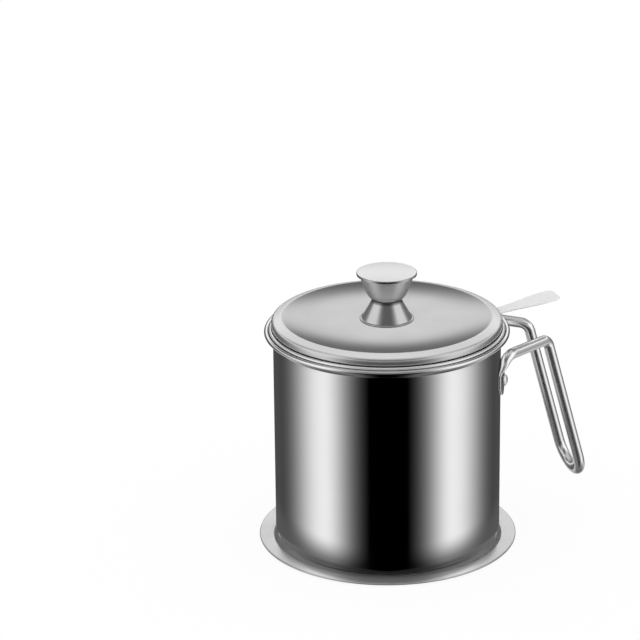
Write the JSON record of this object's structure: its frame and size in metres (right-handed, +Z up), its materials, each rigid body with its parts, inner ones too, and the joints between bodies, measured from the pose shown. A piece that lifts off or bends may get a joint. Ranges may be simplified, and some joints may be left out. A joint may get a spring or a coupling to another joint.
{
  "type": "grease container",
  "caption": "Cylindrical steel pot for saved cooking fat, with a lift-out strainer, a dished lid with a flared knob, a looped wire handle and a flat drip tray.",
  "frame": {"origin": "centre of the drip tray's flat underside, on the common vertical axis of tray, pot, strainer and lid", "axes": "+Z up along the common axis, +X from the axis towards the wire handle and the strainer's strap, +Y to the left of the handle"},
  "size_m": [0.1883, 0.1434, 0.1562],
  "materials": {
    "polished_steel": "mirror polished",
    "satin_steel": "satin",
    "wire_steel": "polished wire",
    "cloth_steel": "woven wire cloth",
    "pressed_steel": "bright pressed sheet",
    "fastener_steel": "plain machined"
  },
  "bodies": {
    "tray": {"drip_tray": "pressed_steel"},
    "pot": {"pot_body": "polished_steel", "handle_wire": "wire_steel", "handle_rivet_right": "fastener_steel", "handle_rivet_left": "fastener_steel"},
    "strainer": {"strainer_ring": "pressed_steel", "strainer_cloth": "cloth_steel", "cloth_clamp_ring": "pressed_steel", "strainer_strap": "satin_steel"},
    "lid": {"lid_shell": "polished_steel", "knob_stem": "polished_steel", "knob_bowl": "satin_steel", "knob_cap": "satin_steel", "knob_nut": "fastener_steel", "knob_screw": "fastener_steel", "screw_washer": "fastener_steel"}
  },
  "joints": [
    {"name": "pot_lift", "type": "slide", "parent": "tray", "child": "pot", "axis": [0, 0, 1], "range_m": [0, 0.03]},
    {"name": "strainer_lift", "type": "slide", "parent": "pot", "child": "strainer", "axis": [0, 0, 1], "range_m": [0, 0.05]},
    {"name": "lid_lift", "type": "slide", "parent": "strainer", "child": "lid", "axis": [0, 0, 1], "range_m": [0, 0.04]}
  ]
}
